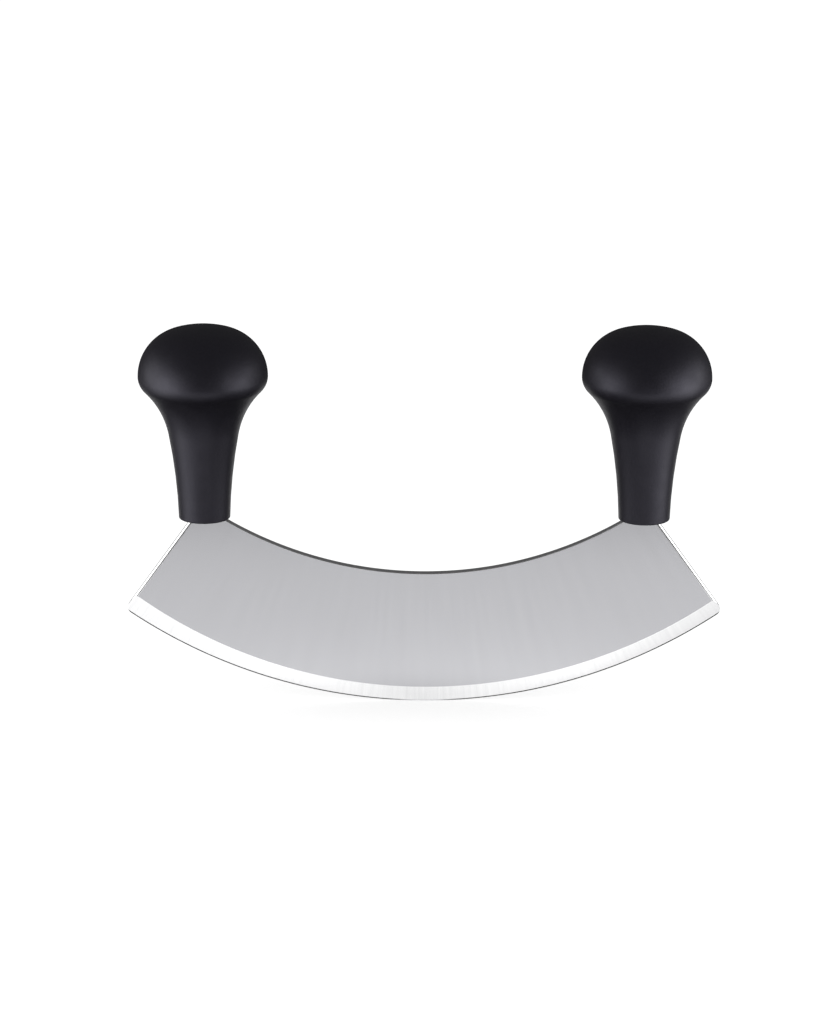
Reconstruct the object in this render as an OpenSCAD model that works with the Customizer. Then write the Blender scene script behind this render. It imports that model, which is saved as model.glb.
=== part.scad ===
// Mezzaluna: a rocking chopping knife with one curved blade and two upright knob handles.
// Millimetres. X runs along the blade, Y through its thickness and Z up to the handles.
// The origin is the lowest point of the cutting edge.

/* [Blade] */
// Distance between the two tips, before their corners are rounded
blade_len = 180.4; // [150:0.2:210]
// Radius of the rocking cutting edge
edge_r = 154.8; // [140:0.1:200]
// Height of the blade at its middle, from the cutting edge to the spine
blade_h = 40.8; // [34:0.1:48]
// Radius of the hollow spine between the handles
spine_r = 115.5; // [105:0.5:130]
// Thickness of the blade sheet
blade_t = 2.4; // [2:0.1:3]
// Radius of each tip's corner
tip_r = 2.2; // [1:0.1:3]

/* [Ground edges] */
// Height of the ground bevel above the cutting edge
bevel_h = 4.8; // [3:0.1:8]
// Height of the fine honed bevel at the cutting edge
hone_h = 0.4; // [0.2:0.05:0.8]
// Thickness where the ground bevel meets the honed bevel
hone_t = 0.5; // [0.3:0.05:0.8]
// Thickness of the cutting edge itself
edge_t = 0.1; // [0.05:0.05:0.2]
// Width of the chamfer down each end of the blade
end_chamfer_w = 0.5; // [0.5:0.1:2]
// Depth of that chamfer into each face
end_chamfer_d = 0.35; // [0.2:0.05:0.8]

/* [Tangs] */
// Width of the blade where it enters a handle
root_w = 9.4; // [8.5:0.1:11]
// Distance from the blade's end to the handle's axis, at the handle's underside
axis_inset = 3.8; // [3.5:0.1:4.5]
// Width of each tang
tang_w = 7; // [5:0.1:7]
// Thickness of each tang, thinner than the sheet so that the blade has a shoulder
tang_t = 1.8; // [1.2:0.1:1.8]
// Length of each tang above the handle's underside
tang_len = 36; // [30:1:44]
// Radius of each tang's top corners
tang_corner_r = 2; // [0.5:0.1:2.4]
// Strip of bare tang between the blade's shoulder and the handle's underside
shoulder_gap = 0.3; // [0.2:0.1:0.6]
// Radius of the holes that the handle's plastic flows through
lock_hole_r = 1.8; // [1:0.1:2]
// Height of the lower hole above the handle's underside
lock_hole_z = 12; // [8:0.5:14]
// Distance between the two holes of a tang
lock_hole_pitch = 13; // [6:0.5:13]

/* [Handles] */
// Radius of the handle at its foot
foot_r = 7.7; // [7:0.1:9]
// Rounding of the edge of the foot
foot_round = 0.4; // [0.2:0.1:1]
// Angle at which the stem widens where it leaves the foot
stem_taper = 1.5; // [0.5:0.1:3]
// Radius of the long sweep of the stem
stem_sweep_r = 160; // [120:1:260]
// Radius of the neck under the knob
neck_r = 26; // [20:0.5:32]
// Radius of the knob's lower lip
lip_r = 5.8; // [4:0.1:8]
// Radius of the knob at its widest ring
knob_r = 19.3; // [17:0.1:22]
// Height of the widest ring above the foot
knob_z = 43.6; // [40:0.1:50]
// Radius of the knob's shoulder, above the widest ring
shoulder_r = 14.4; // [8:0.1:15.5]
// Radius of the flatter crown on top
crown_r = 31; // [26:0.5:60]

/* [Hidden] */
STEEL = [0.75, 0.75, 0.77];
PLASTIC = [0.13, 0.125, 0.145];
// Sides of a full circle
$fn = 180;
// How far a cutting shape reaches past what it cuts
over = 2;
// How far the straight sides of an outline may lie inside the arc that they follow
flat_tol = 0.01;

// The blade is a sector of a ground disc, so its ends lie on radii of the cutting edge
half_angle = asin(blade_len / 2 / edge_r);
spine_z = blade_h + spine_r;

// The handles stand where the blade has narrowed to root_w between its end and its spine.
// root_depth is the depth of that level below the centre of the cutting edge's circle.
end_slope = tan(half_angle);
spine_rise = spine_z - edge_r;
slope_sq = 1 + end_slope * end_slope;
root_lean = end_slope * root_w - spine_rise;
root_reach = spine_r * spine_r - root_w * root_w - spine_rise * spine_rise;
root_depth = (root_lean + sqrt(root_lean * root_lean + slope_sq * root_reach)) / slope_sq;
handle_z = edge_r - root_depth;
handle_x = root_depth * end_slope - axis_inset;
shoulder_z = handle_z - shoulder_gap;

// Centres of the five arcs of the handle's outline, each tangent to the next
foot_z = foot_round * (1 - sin(stem_taper));
sweep_c = [foot_r + stem_sweep_r * cos(stem_taper), foot_z - stem_sweep_r * sin(stem_taper)];
lip_c = [knob_r - lip_r, knob_z];
shoulder_c = [knob_r - shoulder_r, knob_z];
crown_c = [0, knob_z - sqrt(pow(crown_r - shoulder_r, 2) - pow(shoulder_c[0], 2))];
neck_c = lower_crossing(sweep_c, stem_sweep_r - neck_r, lip_c, neck_r + lip_r);

// The lower of the two points at distance r1 from c1 and r2 from c2, with c2 up and left of c1
function lower_crossing(c1, r1, c2, r2) =
    let (d = norm(c2 - c1))
    let (dir = (c2 - c1) / d)
    let (along = (d * d + r1 * r1 - r2 * r2) / (2 * d))
    let (side = sqrt(r1 * r1 - along * along))
    c1 + along * dir + side * [-dir[1], dir[0]];

// Direction from one point to another, in degrees
function heading(from, to) = atan2(to[1] - from[1], to[0] - from[0]);

// Points along an arc of radius r about c, both ends included
function arc_points(c, r, start, stop) =
    let (side_angle = 2 * acos(1 - flat_tol / r))
    let (n = ceil(abs(stop - start) / side_angle))
    [for (i = [0:n]) let (a = start + (stop - start) * i / n) c + r * [cos(a), sin(a)]];

// The points of a list without its first, which the arc before it already ends on
function after_first(points) = [for (i = [1:len(points) - 1]) points[i]];

// The handle from the axis at its foot, round its outside, to the axis at its crown
function handle_outline() =
    let (foot_c = [foot_r - foot_round * cos(stem_taper), foot_round])
    let (sweep_stop = heading(sweep_c, neck_c))
    let (neck_stop = heading(lip_c, neck_c) + 180)
    let (crown_start = heading(crown_c, shoulder_c))
    concat(
        [[0, 0]],
        arc_points(foot_c, foot_round, -90, -stem_taper),
        after_first(arc_points(sweep_c, stem_sweep_r, 180 - stem_taper, sweep_stop)),
        after_first(arc_points(neck_c, neck_r, sweep_stop, neck_stop)),
        after_first(arc_points(lip_c, lip_r, neck_stop - 180, 0)),
        after_first(arc_points(shoulder_c, shoulder_r, 0, crown_start)),
        after_first(arc_points(crown_c, crown_r, crown_start, 90))
    );

// One side of the blade in front view: the radial end and the rounded tip, then down past the disc
function end_and_tip() =
    let (tip_turn = half_angle - asin(tip_r / (edge_r - tip_r)))
    let (tip_c = [(edge_r - tip_r) * sin(tip_turn), edge_r - (edge_r - tip_r) * cos(tip_turn)])
    let (past_x = (edge_r + over) * sin(tip_turn))
    concat(
        arc_points(tip_c, tip_r, half_angle, tip_turn - 90),
        [[past_x, edge_r - (edge_r + over) * cos(tip_turn)], [past_x, -over]]
    );

// Both sides of a list of front view points, right side first
function both_sides(points) =
    let (last = len(points) - 1)
    concat(points, [for (i = [0:last]) [-points[last - i][0], points[last - i][1]]]);

// One tang in front view: a strip with rounded top corners and two round holes
module tang_strip() {
    root_z = shoulder_z - over;
    corner_x = tang_w / 2 - tang_corner_r;
    corner_z = handle_z + tang_len - tang_corner_r;
    difference() {
        polygon(concat(
            [[-tang_w / 2, root_z], [tang_w / 2, root_z]],
            arc_points([corner_x, corner_z], tang_corner_r, 0, 90),
            arc_points([-corner_x, corner_z], tang_corner_r, 90, 180)
        ));
        for (i = [0:1])
            translate([0, handle_z + lock_hole_z + i * lock_hole_pitch])
                circle(lock_hole_r);
    }
}

// The stamped sheet in front view: the sector, hollowed by the spine, with its two tangs
module sheet_outline() {
    difference() {
        polygon(concat([[0, edge_r]], both_sides(end_and_tip())));
        translate([0, spine_z])
            circle(spine_r);
    }
    for (side = [-1, 1])
        translate([side * handle_x, 0])
            tang_strip();
}

// A front view shape made into a sheet of thickness t about the blade's middle plane
module upright(t) {
    rotate([90, 0, 0])
        linear_extrude(height = t, center = true)
            children();
}

// The disc that the blade is part of, ground thin round its rim on both faces
module ground_disc() {
    translate([0, 0, edge_r])
        rotate([90, 0, 0])
            rotate_extrude()
                polygon([
                    [0, -blade_t / 2],
                    [edge_r - bevel_h, -blade_t / 2],
                    [edge_r - hone_h, -hone_t / 2],
                    [edge_r, -edge_t / 2],
                    [edge_r, edge_t / 2],
                    [edge_r - hone_h, hone_t / 2],
                    [edge_r - bevel_h, blade_t / 2],
                    [0, blade_t / 2]
                ]);
}

// What the chamfer takes off one face, down the end on the +X side
module end_chamfer_cut() {
    fall = end_chamfer_d / end_chamfer_w;
    translate([0, 0, edge_r])
        rotate([0, -half_angle, 0])
            translate([0, 0, -edge_r - over])
                linear_extrude(height = edge_r - root_depth + 2 * over)
                    polygon([
                        [-end_chamfer_w - over, blade_t / 2 + fall * over],
                        [over, blade_t / 2 - fall * (end_chamfer_w + over)],
                        [over, blade_t / 2 + fall * over]
                    ]);
}

// The blade below its shoulders, at full thickness
module ground_blade() {
    difference() {
        intersection() {
            upright(blade_t)
                intersection() {
                    sheet_outline();
                    translate([-blade_len, -over])
                        square([2 * blade_len, shoulder_z + over]);
                }
            ground_disc();
        }
        for (side = [0, 1], face = [0, 1])
            mirror([side, 0, 0])
                mirror([0, face, 0])
                    end_chamfer_cut();
    }
}

// The two tangs with the narrow roots that join them to the blade
module tangs() {
    upright(tang_t)
        intersection() {
            sheet_outline();
            translate([-blade_len, shoulder_z])
                square([2 * blade_len, shoulder_gap + tang_len + over]);
        }
}

// A solid knob moulded round its tang, with the plastic running through the tang's holes
module handle(side) {
    difference() {
        translate([side * handle_x, 0, handle_z])
            rotate_extrude()
                polygon(handle_outline());
        tangs();
    }
}

// Steel sheet, stamped and ground, in one piece with its two tangs
module blade() {
    color(STEEL) {
        ground_blade();
        tangs();
    }
}

// Black plastic knob on the -X side
module left_handle() {
    color(PLASTIC) handle(-1);
}

// Black plastic knob on the +X side
module right_handle() {
    color(PLASTIC) handle(1);
}

blade();
left_handle();
right_handle();
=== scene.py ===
import math

import bmesh
import bpy
from mathutils import Matrix, Vector
from mathutils.geometry import intersect_sphere_sphere_2d


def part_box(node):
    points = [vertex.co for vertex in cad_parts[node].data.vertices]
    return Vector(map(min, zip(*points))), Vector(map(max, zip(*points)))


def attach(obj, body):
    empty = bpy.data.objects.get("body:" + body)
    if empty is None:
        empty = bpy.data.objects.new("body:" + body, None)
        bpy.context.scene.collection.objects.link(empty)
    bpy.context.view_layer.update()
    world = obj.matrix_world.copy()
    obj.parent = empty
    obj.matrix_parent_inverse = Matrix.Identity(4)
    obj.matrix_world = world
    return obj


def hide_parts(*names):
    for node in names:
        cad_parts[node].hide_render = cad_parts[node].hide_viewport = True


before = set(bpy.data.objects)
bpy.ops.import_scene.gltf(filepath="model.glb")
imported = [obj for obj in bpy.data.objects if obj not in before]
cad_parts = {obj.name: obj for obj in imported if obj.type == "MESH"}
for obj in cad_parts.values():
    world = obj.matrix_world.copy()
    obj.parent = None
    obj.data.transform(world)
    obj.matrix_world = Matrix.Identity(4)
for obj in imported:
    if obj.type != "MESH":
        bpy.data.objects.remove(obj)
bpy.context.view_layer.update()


# The blade is one stainless sheet, stamped as a sector of a disc with a hollow spine and a tang at
# each end. Its rim is ground thin on both faces and honed, and a chamfer breaks each straight end.
blade_low, blade_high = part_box("blade")
sheet_thickness = blade_high.y - blade_low.y
tip_span = 0.1804
edge_radius = 0.1548
blade_height = 0.0408
spine_radius = 0.1155
spine_round = 0.00035
bevel_height = 0.0048
bevel_drift = 0.00105
hone_height = 0.0004
hone_thickness = 0.0005
edge_thickness = 0.0001
chamfer_width = 0.0005
chamfer_depth = 0.00035
crest_radius = 0.0013
crest_steps = 5
tip_radius = 0.0022
foot_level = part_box("left_handle")[0].z
shoulder_gap = 0.0003
shoulder_step = 0.0002
tang_width = 0.007
edge_steps = 144
tip_steps = 12
crease = math.radians(9.0)

edge_centre = Vector((0.0, 0.0, edge_radius))
half_angle = math.asin(tip_span / 2 / edge_radius)
spine_rise = blade_height + spine_radius - edge_radius

# Finishes of the blade's faces, as indices of its material slots
SATIN, GROUND, HONED, CUT, BELTED = range(5)


def spine_reach(turn):
    """Distance from the cutting edge's centre to the spine, at an angle from the blade's middle."""
    rise = spine_rise * math.cos(turn)
    return math.sqrt(spine_radius ** 2 - (spine_rise * math.sin(turn)) ** 2) - rise


def turn_of(point):
    """Angle of a point of the blade from its middle, about the cutting edge's centre."""
    return math.atan2(point.x, edge_radius - point.z)


def bevel_reach(turn):
    """Distance from the cutting edge's centre to the bevel, which is ground wider at the left end."""
    return edge_radius - bevel_height - bevel_drift * max(0.0, -turn / half_angle) ** 2


def cut_away(sheet, point, normal, finish):
    """Grinds off what lies past a plane, closes the cut and gives the new faces a finish."""
    parts = sheet.verts[:] + sheet.edges[:] + sheet.faces[:]
    cut = bmesh.ops.bisect_plane(
        sheet, geom=parts, plane_co=point, plane_no=normal, clear_outer=True,
    )
    rim = [part for part in cut["geom_cut"] if isinstance(part, bmesh.types.BMEdge)]
    caps = bmesh.ops.holes_fill(sheet, edges=rim)["faces"]
    for cap in caps:
        cap.material_index = finish
    return caps


# The section through the blade's middle is swept round the cutting edge's centre
sheet = bmesh.new()
half_section = (
    (blade_height, sheet_thickness / 2),
    (bevel_height, sheet_thickness / 2),
    (hone_height, hone_thickness / 2),
    (0.0, edge_thickness / 2),
)
section = [sheet.verts.new((0.0, side, height)) for height, side in half_section]
section += [sheet.verts.new((0.0, -side, height)) for height, side in reversed(half_section)]
sheet.faces.new(section)
bmesh.ops.bevel(
    sheet, geom=[section[0], section[-1]], offset=spine_round, segments=3, profile=0.5,
    affect="VERTICES", material=-1,
)
bmesh.ops.delete(sheet, geom=sheet.faces[:], context="FACES_ONLY")
bmesh.ops.rotate(
    sheet, verts=sheet.verts[:], cent=edge_centre, matrix=Matrix.Rotation(half_angle, 3, "Y"),
)
bmesh.ops.spin(
    sheet, geom=sheet.verts[:] + sheet.edges[:], cent=edge_centre, axis=(0.0, -1.0, 0.0),
    angle=2 * half_angle, steps=edge_steps, use_duplicate=False,
)
bmesh.ops.holes_fill(sheet, edges=[edge for edge in sheet.edges if edge.is_boundary])

# The spine is hollowed on its own circle and the bevel drifts, and then each face takes its finish.
# Only the blade's two ends have more than four corners.
for vertex in sheet.verts:
    spoke = vertex.co - edge_centre
    reach = math.hypot(spoke.x, spoke.z)
    turn = turn_of(vertex.co)
    if reach < edge_radius - bevel_height - spine_round:
        growth = 1 + (spine_reach(turn) - spine_reach(0.0)) / reach
    elif reach < edge_radius - hone_height - spine_round:
        growth = bevel_reach(turn) / reach
    else:
        growth = 1.0
    vertex.co = edge_centre + Vector((spoke.x * growth, spoke.y, spoke.z * growth))
bmesh.ops.recalc_face_normals(sheet, faces=sheet.faces[:])
for face in sheet.faces:
    middle = face.calc_center_median()
    reach = math.hypot(middle.x, edge_radius - middle.z)
    depth = edge_radius - reach
    if len(face.verts) > 4 or reach < spine_reach(turn_of(middle)) + spine_round:
        face.material_index = CUT
    elif depth > bevel_height:
        face.material_index = SATIN
    elif depth > hone_height:
        face.material_index = GROUND
    else:
        face.material_index = HONED

# Each end is broken on a belt: a chamfer, with its crest rolled over into the face by a fan of cuts.
# A second fan of cuts rounds the tip's corner.
chamfer_lean = math.atan2(chamfer_depth, chamfer_width)
for side in (-1, 1):
    spoke = Vector((side * math.sin(half_angle), 0.0, -math.cos(half_angle)))
    outward = Vector((side * math.cos(half_angle), 0.0, math.sin(half_angle)))
    for face_side in (-1, 1):
        across = Vector((0.0, face_side, 0.0))
        inset = chamfer_width + crest_radius * math.tan(chamfer_lean / 2)
        roll_centre = edge_centre + edge_radius * spoke - inset * outward
        roll_centre += (sheet_thickness / 2 - crest_radius) * across
        for step in range(crest_steps, 0, -1):
            lean = chamfer_lean * step / crest_steps
            facing = math.sin(lean) * outward + math.cos(lean) * across
            cut_away(sheet, roll_centre + crest_radius * facing, facing, BELTED)
    tip_turn = half_angle - math.asin(tip_radius / (edge_radius - tip_radius))
    tip_spoke = Vector((side * math.sin(tip_turn), 0.0, -math.cos(tip_turn)))
    tip_centre = edge_centre + (edge_radius - tip_radius) * tip_spoke
    sweep = outward.angle(tip_spoke)
    for step in range(1, tip_steps):
        turned = Matrix.Rotation(side * sweep * step / tip_steps, 3, "Y")
        facing = turned @ outward
        cut_away(sheet, tip_centre + tip_radius * facing, facing, CUT)

# The sheet ends in a shoulder under each handle. From its inset middle a strip rises to the handle's
# foot, and the hidden tang goes on up from there and narrows.
shoulders = cut_away(sheet, (0.0, 0.0, foot_level - shoulder_gap), (0.0, 0.0, 1.0), CUT)
for shoulder in shoulders:
    bmesh.ops.inset_region(sheet, faces=[shoulder], thickness=shoulder_step, use_even_offset=True)
    middle = shoulder.calc_center_median()
    width = max(v.co.x for v in shoulder.verts) - min(v.co.x for v in shoulder.verts)
    for rise, squeeze in ((shoulder_gap, 1.0), (blade_high.z - foot_level, tang_width / width)):
        grown = bmesh.ops.extrude_face_region(sheet, geom=[shoulder])["geom"]
        corners = [part for part in grown if isinstance(part, bmesh.types.BMVert)]
        bmesh.ops.delete(sheet, geom=[shoulder], context="FACES_ONLY")
        shoulder = next(part for part in grown if isinstance(part, bmesh.types.BMFace))
        bmesh.ops.translate(sheet, verts=corners, vec=(0.0, 0.0, rise))
        bmesh.ops.scale(
            sheet, verts=corners, vec=(squeeze, 1.0, 1.0), space=Matrix.Translation(-middle),
        )

# Sharp where two ground planes meet, smooth round the spine, the edge and the tips
bmesh.ops.recalc_face_normals(sheet, faces=sheet.faces[:])
for edge in sheet.edges:
    edge.smooth = edge.calc_face_angle(math.pi) < crease
for face in sheet.faces:
    face.smooth = True

# The pattern of the grinding follows the edge: arc length along it and height above it, in metres
lay = sheet.loops.layers.uv.new("along_edge")
for face in sheet.faces:
    for loop in face.loops:
        spot = loop.vert.co
        depth = edge_radius - math.hypot(spot.x, edge_radius - spot.z)
        loop[lay].uv = (turn_of(spot) * edge_radius, depth)

blade_mesh = bpy.data.meshes.new("blade_sheet")
sheet.to_mesh(blade_mesh)
sheet.free()
blade = bpy.data.objects.new("blade_sheet", blade_mesh)
bpy.context.scene.collection.objects.link(blade)
weighting = blade.modifiers.new("flat_faces", "WEIGHTED_NORMAL")
weighting.keep_sharp = True


def reckon(tree, operation, *terms):
    """Adds a sum to a tree of nodes, fed by sockets and plain numbers, and returns its result."""
    working = tree.nodes.new("ShaderNodeMath")
    working.operation = operation
    for socket, term in zip(working.inputs, terms):
        if isinstance(term, bpy.types.NodeSocket):
            tree.links.new(term, socket)
        else:
            socket.default_value = term
    return working.outputs["Value"]


def ranged(tree, value, low, high, first=0.0, last=1.0, easing="LINEAR"):
    """Returns a result that goes from first to last while a value goes from low to high."""
    span = tree.nodes.new("ShaderNodeMapRange")
    span.interpolation_type = easing
    span.inputs["From Min"].default_value = low
    span.inputs["From Max"].default_value = high
    span.inputs["To Min"].default_value = first
    span.inputs["To Max"].default_value = last
    tree.links.new(value, span.inputs["Value"])
    return span.outputs["Result"]


def surface(material, tone, dark, light, matt, height, depth):
    """Joins a material's shader to its patterns: tone from dark to light, roughness and relief."""
    tree = material.node_tree
    shader = tree.nodes["Principled BSDF"]
    colour = tree.nodes.new("ShaderNodeMix")
    colour.data_type = "RGBA"
    colour.inputs["A"].default_value = (*dark, 1.0)
    colour.inputs["B"].default_value = (*light, 1.0)
    relief = tree.nodes.new("ShaderNodeBump")
    relief.inputs["Distance"].default_value = depth
    tree.links.new(tone, colour.inputs["Factor"])
    tree.links.new(colour.outputs["Result"], shader.inputs["Base Color"])
    tree.links.new(matt, shader.inputs["Roughness"])
    tree.links.new(height, relief.inputs["Height"])
    tree.links.new(relief.outputs["Normal"], shader.inputs["Normal"])


def grinding_lines():
    """Straight scratches across the blade: Lines runs from 0 to 1, and Bands varies more slowly."""
    group = bpy.data.node_groups.new("grinding_lines", "ShaderNodeTree")
    sockets = group.interface
    sockets.new_socket("Place", in_out="INPUT", socket_type="NodeSocketVector")
    for given_name in ("Lines per Metre", "Line Length", "Bands per Metre"):
        sockets.new_socket(given_name, in_out="INPUT", socket_type="NodeSocketFloat")
    for result_name in ("Lines", "Bands"):
        sockets.new_socket(result_name, in_out="OUTPUT", socket_type="NodeSocketFloat")
    nodes, links = group.nodes, group.links
    given = nodes.new("NodeGroupInput")
    result = nodes.new("NodeGroupOutput")
    split = nodes.new("ShaderNodeSeparateXYZ")
    links.new(given.outputs["Place"], split.inputs["Vector"])
    drawn = reckon(group, "DIVIDE", split.outputs["Y"], given.outputs["Line Length"])
    for count, detail in (("Lines", 3.0), ("Bands", 1.0)):
        spot = nodes.new("ShaderNodeCombineXYZ")
        grain = nodes.new("ShaderNodeTexNoise")
        grain.noise_dimensions = "2D"
        grain.inputs["Scale"].default_value = 1.0
        grain.inputs["Detail"].default_value = detail
        grain.inputs["Roughness"].default_value = 0.6
        along = reckon(group, "MULTIPLY", split.outputs["X"], given.outputs[count + " per Metre"])
        links.new(along, spot.inputs["X"])
        links.new(drawn, spot.inputs["Y"])
        links.new(spot.outputs["Vector"], grain.inputs["Vector"])
        links.new(grain.outputs["Fac"], result.inputs[count])
    return group


wheel_marks = grinding_lines()


def ground_steel(name, dark, light, roughness, spread, lines, length, bands, depth):
    """Bare steel whose tone, roughness and relief follow the scratches that one wheel left."""
    steel = bpy.data.materials.new(name)
    steel.use_nodes = True
    tree = steel.node_tree
    tree.nodes["Principled BSDF"].inputs["Metallic"].default_value = 1.0
    place = tree.nodes.new("ShaderNodeUVMap")
    place.uv_map = "along_edge"
    scratches = tree.nodes.new("ShaderNodeGroup")
    scratches.node_tree = wheel_marks
    scratches.inputs["Lines per Metre"].default_value = lines
    scratches.inputs["Line Length"].default_value = length
    scratches.inputs["Bands per Metre"].default_value = bands
    tree.links.new(place.outputs["UV"], scratches.inputs["Place"])
    marks = scratches.outputs["Lines"]
    both = reckon(tree, "ADD", marks, scratches.outputs["Bands"])
    tone = ranged(tree, both, low=0.6, high=1.4)
    half_spread = spread / 2
    matt = ranged(
        tree, marks, low=0.25, high=0.75, first=roughness - half_spread, last=roughness + half_spread,
    )
    surface(steel, tone, dark, light, matt, height=marks, depth=depth)
    return steel


# Every steel finish is the same bare metal, scratched by its own wheel. The satin face has a fine,
# even glaze, the bevel coarser scratches in slow bands, and the belted ends are almost bright. The
# honed edge's steel is a little darker than the bevel's: painted shade, for the table in the knife's
# shadow just under the edge.
steel_finishes = {
    SATIN: ground_steel(
        "satin_face", dark=(0.488, 0.488, 0.507), light=(0.504, 0.504, 0.524), roughness=0.26,
        spread=0.02, lines=6000.0, length=0.030, bands=300.0, depth=6.0e-7,
    ),
    GROUND: ground_steel(
        "ground_bevel", dark=(0.900, 0.902, 0.910), light=(0.985, 0.985, 0.990), roughness=0.24,
        spread=0.06, lines=2600.0, length=0.020, bands=700.0, depth=3.0e-6,
    ),
    # The honed edge is darker than the bevel as painted shade, for the shadowed table just under the
    # edge
    HONED: ground_steel(
        "honed_edge", dark=(0.800, 0.800, 0.810), light=(0.950, 0.950, 0.960), roughness=0.35,
        spread=0.10, lines=5000.0, length=0.004, bands=700.0, depth=2.0e-6,
    ),
    CUT: ground_steel(
        "cut_edge", dark=(0.820, 0.820, 0.835), light=(0.950, 0.950, 0.965), roughness=0.38,
        spread=0.10, lines=4000.0, length=0.002, bands=500.0, depth=4.0e-6,
    ),
    BELTED: ground_steel(
        "belted_end", dark=(0.860, 0.862, 0.870), light=(0.960, 0.960, 0.965), roughness=0.16,
        spread=0.06, lines=5000.0, length=0.040, bands=500.0, depth=1.0e-6,
    ),
}
for slot in sorted(steel_finishes):
    blade_mesh.materials.append(steel_finishes[slot])

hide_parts("blade")
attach(blade, "root")


# The two handles are solid knobs of matte black plastic, moulded straight onto the tangs. Six arcs,
# each tangent to the next, give their outline from the crisp foot up the stem to the crown.
foot_radius = 0.0077
foot_round = 0.0004
stem_taper = math.radians(1.5)
stem_sweep_radius = 0.160
neck_radius = 0.026
lip_radius = 0.0058
knob_level = 0.0436
shoulder_radius = 0.0144
crown_radius = 0.031
arc_step = math.radians(2.5)
knob_steps = 128
pole_merge = 1.0e-6
foot_crease = math.radians(20.0)


def heading(start, stop):
    """Direction from one point to another, anticlockwise from the radial direction."""
    return math.atan2(stop[1] - start[1], stop[0] - start[0])


def knob_outline(low, high):
    """The outline of one handle as a chain of edges, from its foot's centre to its crown."""
    axis_x = (low.x + high.x) / 2
    knob_radius = (high.y - low.y) / 2
    tapered = Vector((math.cos(stem_taper), -math.sin(stem_taper)))
    foot_centre = Vector((foot_radius - foot_round * math.cos(stem_taper), foot_round))
    sweep_centre = foot_centre + (foot_round + stem_sweep_radius) * tapered
    lip_centre = Vector((knob_radius - lip_radius, knob_level))
    shoulder_centre = Vector((knob_radius - shoulder_radius, knob_level))
    crown_drop = math.sqrt((crown_radius - shoulder_radius) ** 2 - shoulder_centre.x ** 2)
    crown_centre = Vector((0.0, knob_level - crown_drop))
    crossings = intersect_sphere_sphere_2d(
        sweep_centre, stem_sweep_radius - neck_radius, lip_centre, neck_radius + lip_radius,
    )
    neck_centre = min(crossings, key=lambda crossing: crossing.y)
    neck_start = heading(sweep_centre, neck_centre)
    lip_start = heading(lip_centre, neck_centre)
    crown_start = heading(crown_centre, shoulder_centre)
    arcs = (
        (foot_centre, math.pi / 2 - stem_taper),
        (sweep_centre, neck_start - math.pi + stem_taper),
        (neck_centre, lip_start + math.pi - neck_start),
        (lip_centre, -lip_start),
        (shoulder_centre, crown_start),
        (crown_centre, math.pi / 2 - crown_start),
    )
    outline = bmesh.new()
    start = outline.verts.new((axis_x, 0.0, low.z))
    end = outline.verts.new((axis_x + foot_centre.x, 0.0, low.z))
    outline.edges.new((start, end))
    for centre, turn in arcs:
        spun = bmesh.ops.spin(
            outline, geom=[end], cent=(axis_x + centre.x, 0.0, low.z + centre.y),
            axis=(0.0, -1.0, 0.0), angle=turn, steps=math.ceil(abs(turn) / arc_step),
            use_duplicate=False,
        )
        end = next(part for part in spun["geom_last"] if isinstance(part, bmesh.types.BMVert))
    end.co.x = axis_x
    return outline


# Black plastic from a spark-eroded mould: a fine, even pebble, with the sheen a little patchy
plastic = bpy.data.materials.new("black_plastic")
plastic.use_nodes = True
tree = plastic.node_tree
tree.nodes["Principled BSDF"].inputs["Specular Tint"].default_value = (0.86, 0.84, 1.0, 1.0)
place = tree.nodes.new("ShaderNodeTexCoord")
pebble = tree.nodes.new("ShaderNodeTexNoise")
pebble.inputs["Scale"].default_value = 1900.0
pebble.inputs["Detail"].default_value = 2.0
pebble.inputs["Roughness"].default_value = 0.55
patches = tree.nodes.new("ShaderNodeTexNoise")
patches.inputs["Scale"].default_value = 260.0
patches.inputs["Detail"].default_value = 3.0
for texture in (pebble, patches):
    tree.links.new(place.outputs["Object"], texture.inputs["Vector"])
surface(
    plastic,
    tone=pebble.outputs["Fac"],
    dark=(0.0050, 0.0044, 0.0072),
    light=(0.0088, 0.0078, 0.0118),
    matt=ranged(tree, patches.outputs["Fac"], low=0.3, high=0.7, first=0.45, last=0.52),
    height=pebble.outputs["Fac"],
    depth=3.0e-5,
)

for node in ("left_handle", "right_handle"):
    low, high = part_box(node)
    knob = knob_outline(low, high)
    bmesh.ops.spin(
        knob, geom=knob.verts[:] + knob.edges[:], cent=((low.x + high.x) / 2, 0.0, 0.0),
        axis=(0.0, 0.0, 1.0), angle=2 * math.pi, steps=knob_steps, use_merge=True,
        use_duplicate=False,
    )
    bmesh.ops.remove_doubles(knob, verts=knob.verts[:], dist=pole_merge)
    bmesh.ops.recalc_face_normals(knob, faces=knob.faces[:])
    for face in knob.faces:
        face.smooth = True
    for edge in knob.edges:
        edge.smooth = edge.calc_face_angle(math.pi) < foot_crease
    mesh = bpy.data.meshes.new(node + "_knob")
    knob.to_mesh(mesh)
    knob.free()
    mesh.materials.append(plastic)
    handle = bpy.data.objects.new(node + "_knob", mesh)
    bpy.context.scene.collection.objects.link(handle)
    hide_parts(node)
    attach(handle, "root")


# The floor is a plain pale table, which cameras see whitened, with the knife's shadow still on it.
# Polished things see painted light on it instead: a painted pool of light, white close round the
# knife with painted shadow right at its foot, dark from about 0.27 m away in front and behind, and a
# painted glow brightest to the sides in front, where the softboxes stand.
floor_half = 6.0
table_grey = 0.5
table_lift = 0.60
ramp_reach = 0.4
ramp_top = 1.4
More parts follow.
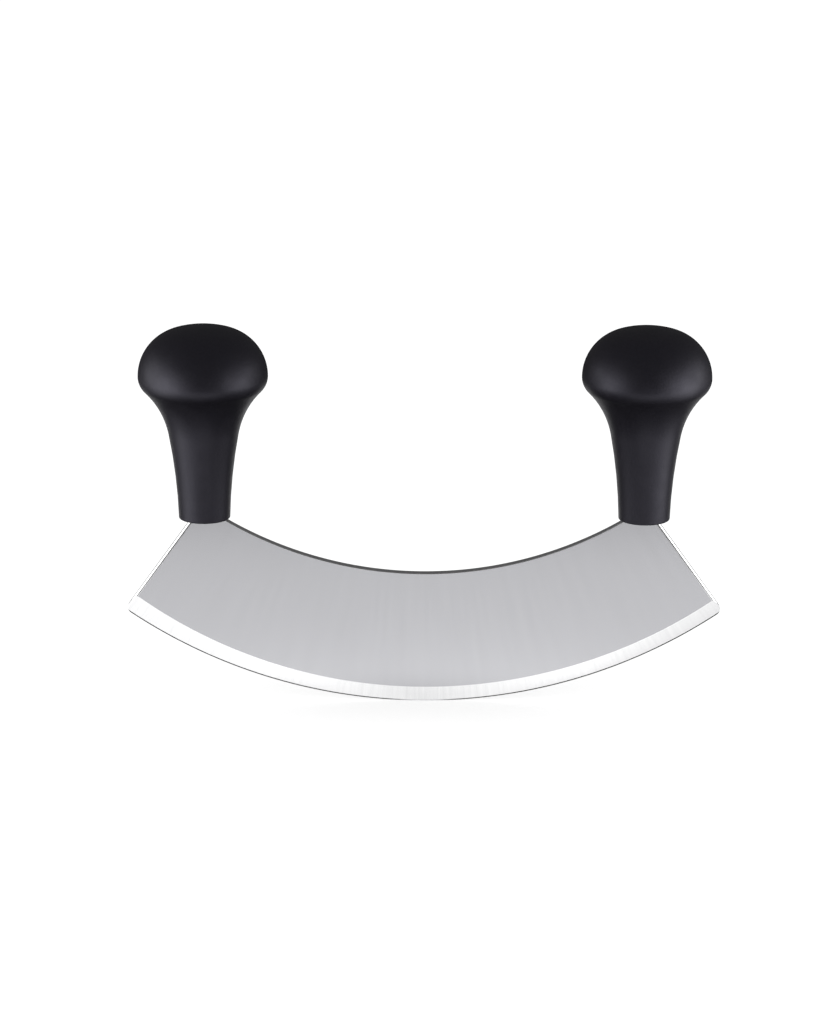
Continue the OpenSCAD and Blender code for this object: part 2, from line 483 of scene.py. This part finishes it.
# Levels of the painted pool of light, by distance from the knife in metres: a painted shadow dips it
# at the knife's foot, and it falls to dark past 0.27 m
painted_pool_levels = (
    (0.0, 0.88), (0.006, 0.96), (0.018, 1.20), (0.028, 1.38), (0.050, 1.30), (0.084, 1.20),
    (0.125, 1.20), (0.180, 1.38), (0.206, 1.40), (0.270, 0.08), (0.360, 0.04),
)
side_stretch = 2.0
# Level of the painted shade that reflections running steeply down onto the table see
steep_shade_level = 0.03 * ramp_top
# Level and bearing of the painted glow to the sides, standing in for the softboxes' light on the
# table
painted_side_level = 2.9
side_bearing = 0.6

floor_mesh = bpy.data.meshes.new("floor")
plane = bmesh.new()
bmesh.ops.create_grid(plane, x_segments=1, y_segments=1, size=floor_half)
plane.to_mesh(floor_mesh)
plane.free()
floor = bpy.data.objects.new("floor", floor_mesh)
bpy.context.scene.collection.objects.link(floor)
table = bpy.data.materials.new("pale_table")
table.use_nodes = True
tree = table.node_tree
nodes, links = tree.nodes, tree.links
nodes.clear()
rays = nodes.new("ShaderNodeLightPath")
place = nodes.new("ShaderNodeTexCoord")
split = nodes.new("ShaderNodeSeparateXYZ")
links.new(place.outputs["Object"], split.inputs["Vector"])

# The table as it is lit, with light added for the camera alone
lit = nodes.new("ShaderNodeBsdfDiffuse")
lit.inputs["Color"].default_value = (table_grey, table_grey, table_grey, 1.0)
white = nodes.new("ShaderNodeEmission")
whitened = nodes.new("ShaderNodeAddShader")
lift = reckon(tree, "MULTIPLY", rays.outputs["Is Camera Ray"], table_lift)
links.new(lift, white.inputs["Strength"])
links.new(lit.outputs["BSDF"], whitened.inputs[0])
links.new(white.outputs["Emission"], whitened.inputs[1])

# The levels round the knife reach further to the sides, and show in full only where a reflection
# runs mostly forwards or backwards, as off the blade's faces. A reflection that runs steeply down
# meets painted shade, which stands in for the knife's shadow on the table straight below it.
squeeze = nodes.new("ShaderNodeVectorMath")
squeeze.operation = "MULTIPLY"
squeeze.inputs[1].default_value = (1 / (side_stretch * ramp_reach), 1 / ramp_reach, 1 / ramp_reach)
away = nodes.new("ShaderNodeVectorMath")
away.operation = "LENGTH"
levels = nodes.new("ShaderNodeValToRGB")
stops = levels.color_ramp.elements
stops.remove(stops[-1])
for from_knife, level in painted_pool_levels:
    stop = stops.new(from_knife / ramp_reach) if from_knife > 0 else stops[0]
    stop.color = (level / ramp_top, level / ramp_top, level / ramp_top, 1.0)
links.new(place.outputs["Object"], squeeze.inputs[0])
links.new(squeeze.outputs["Vector"], away.inputs[0])
links.new(away.outputs["Value"], levels.inputs["Fac"])
apart = reckon(tree, "ABSOLUTE", split.outputs["Y"])
forward = reckon(tree, "DIVIDE", apart, rays.outputs["Ray Length"])
painted_steep_shade = ranged(
    tree, forward, low=0.60, high=0.80, first=steep_shade_level, last=ramp_top, easing="SMOOTHSTEP",
)
painted_pool = reckon(tree, "MULTIPLY", levels.outputs["Color"], painted_steep_shade)

# The painted glow to the sides, which stands in for the softboxes' light on the table, grows with the
# distance along X, in a wedge that opens forwards
beside = reckon(tree, "ABSOLUTE", split.outputs["X"])
painted_side_glow = ranged(
    tree, beside, low=0.12, high=0.26, first=0.0, last=painted_side_level, easing="SMOOTHSTEP",
)
ahead = reckon(tree, "MULTIPLY", split.outputs["Y"], -1.0)
bearing = reckon(tree, "DIVIDE", ahead, beside)
turned = reckon(tree, "SUBTRACT", bearing, side_bearing)
off_bearing = reckon(tree, "ABSOLUTE", turned)
wedge = ranged(
    tree, off_bearing, low=0.45, high=0.80, first=1.0, last=0.0, easing="SMOOTHSTEP",
)
painted_glow = reckon(tree, "MULTIPLY_ADD", painted_side_glow, wedge, painted_pool)

mirrored = nodes.new("ShaderNodeEmission")
seen = nodes.new("ShaderNodeMixShader")
output = nodes.new("ShaderNodeOutputMaterial")
glossy, through = rays.outputs["Is Glossy Ray"], rays.outputs["Is Transmission Ray"]
links.new(painted_glow, mirrored.inputs["Strength"])
links.new(reckon(tree, "MAXIMUM", glossy, through), seen.inputs["Fac"])
links.new(whitened.outputs["Shader"], seen.inputs[1])
links.new(mirrored.outputs["Emission"], seen.inputs[2])
links.new(seen.outputs["Shader"], output.inputs["Surface"])
floor_mesh.materials.append(table)


# Soft studio light: an even pale world, which cameras see white and gloss sees as a dim room, and a
# low softbox at each side in front of the knife.
room_light = 0.95
room_gloss = 0.09
softbox_depth = 0.7
softbox_height = 0.26
softbox_power = 1.1
softbox_beside = 0.50
softbox_ahead = 0.16
softbox_clear = 0.01

world = bpy.data.worlds.new("studio")
bpy.context.scene.world = world
world.use_nodes = True
nodes, links = world.node_tree.nodes, world.node_tree.links
rays = nodes.new("ShaderNodeLightPath")
glossy_level = nodes.new("ShaderNodeMix")
glossy_level.inputs["A"].default_value = room_light
glossy_level.inputs["B"].default_value = room_gloss
camera_level = nodes.new("ShaderNodeMix")
camera_level.inputs["B"].default_value = 1.0
links.new(rays.outputs["Is Glossy Ray"], glossy_level.inputs["Factor"])
links.new(glossy_level.outputs["Result"], camera_level.inputs["A"])
links.new(rays.outputs["Is Camera Ray"], camera_level.inputs["Factor"])
links.new(camera_level.outputs["Result"], nodes["Background"].inputs["Strength"])
nodes["Background"].inputs["Color"].default_value = (1.0, 1.0, 1.0, 1.0)

for side in (-1, 1):
    lamp = bpy.data.lights.new("side_softbox", "AREA")
    lamp.shape = "RECTANGLE"
    lamp.size = softbox_depth
    lamp.size_y = softbox_height
    lamp.energy = softbox_power
    softbox = bpy.data.objects.new("side_softbox", lamp)
    bpy.context.scene.collection.objects.link(softbox)
    softbox_level = softbox_height / 2 + softbox_clear
    softbox.location = (side * softbox_beside, -softbox_ahead, softbox_level)
    softbox.rotation_euler = (math.pi / 2, 0.0, side * math.pi / 2)
    softbox.visible_camera = False


# The camera has a long lens. It stands a little above the knife and looks down at its front face,
# rolled by a fraction of a degree.
camera_data = bpy.data.cameras.new("camera")
camera_data.sensor_width = 36.0
camera_data.lens = 127.05
camera = bpy.data.objects.new("camera", camera_data)
bpy.context.scene.collection.objects.link(camera)
aim = Vector((-0.0034, 0.0, 0.05957))
distance = 1.082
elevation = math.radians(16.0)
roll = math.radians(0.20)
camera.location = aim + distance * Vector((0.0, -math.cos(elevation), math.sin(elevation)))
tilt = Matrix.Rotation(math.pi / 2 - elevation, 4, "X") @ Matrix.Rotation(roll, 4, "Z")
camera.rotation_euler = tilt.to_euler()
bpy.context.scene.camera = camera
bpy.context.scene.view_settings.view_transform = "Standard"
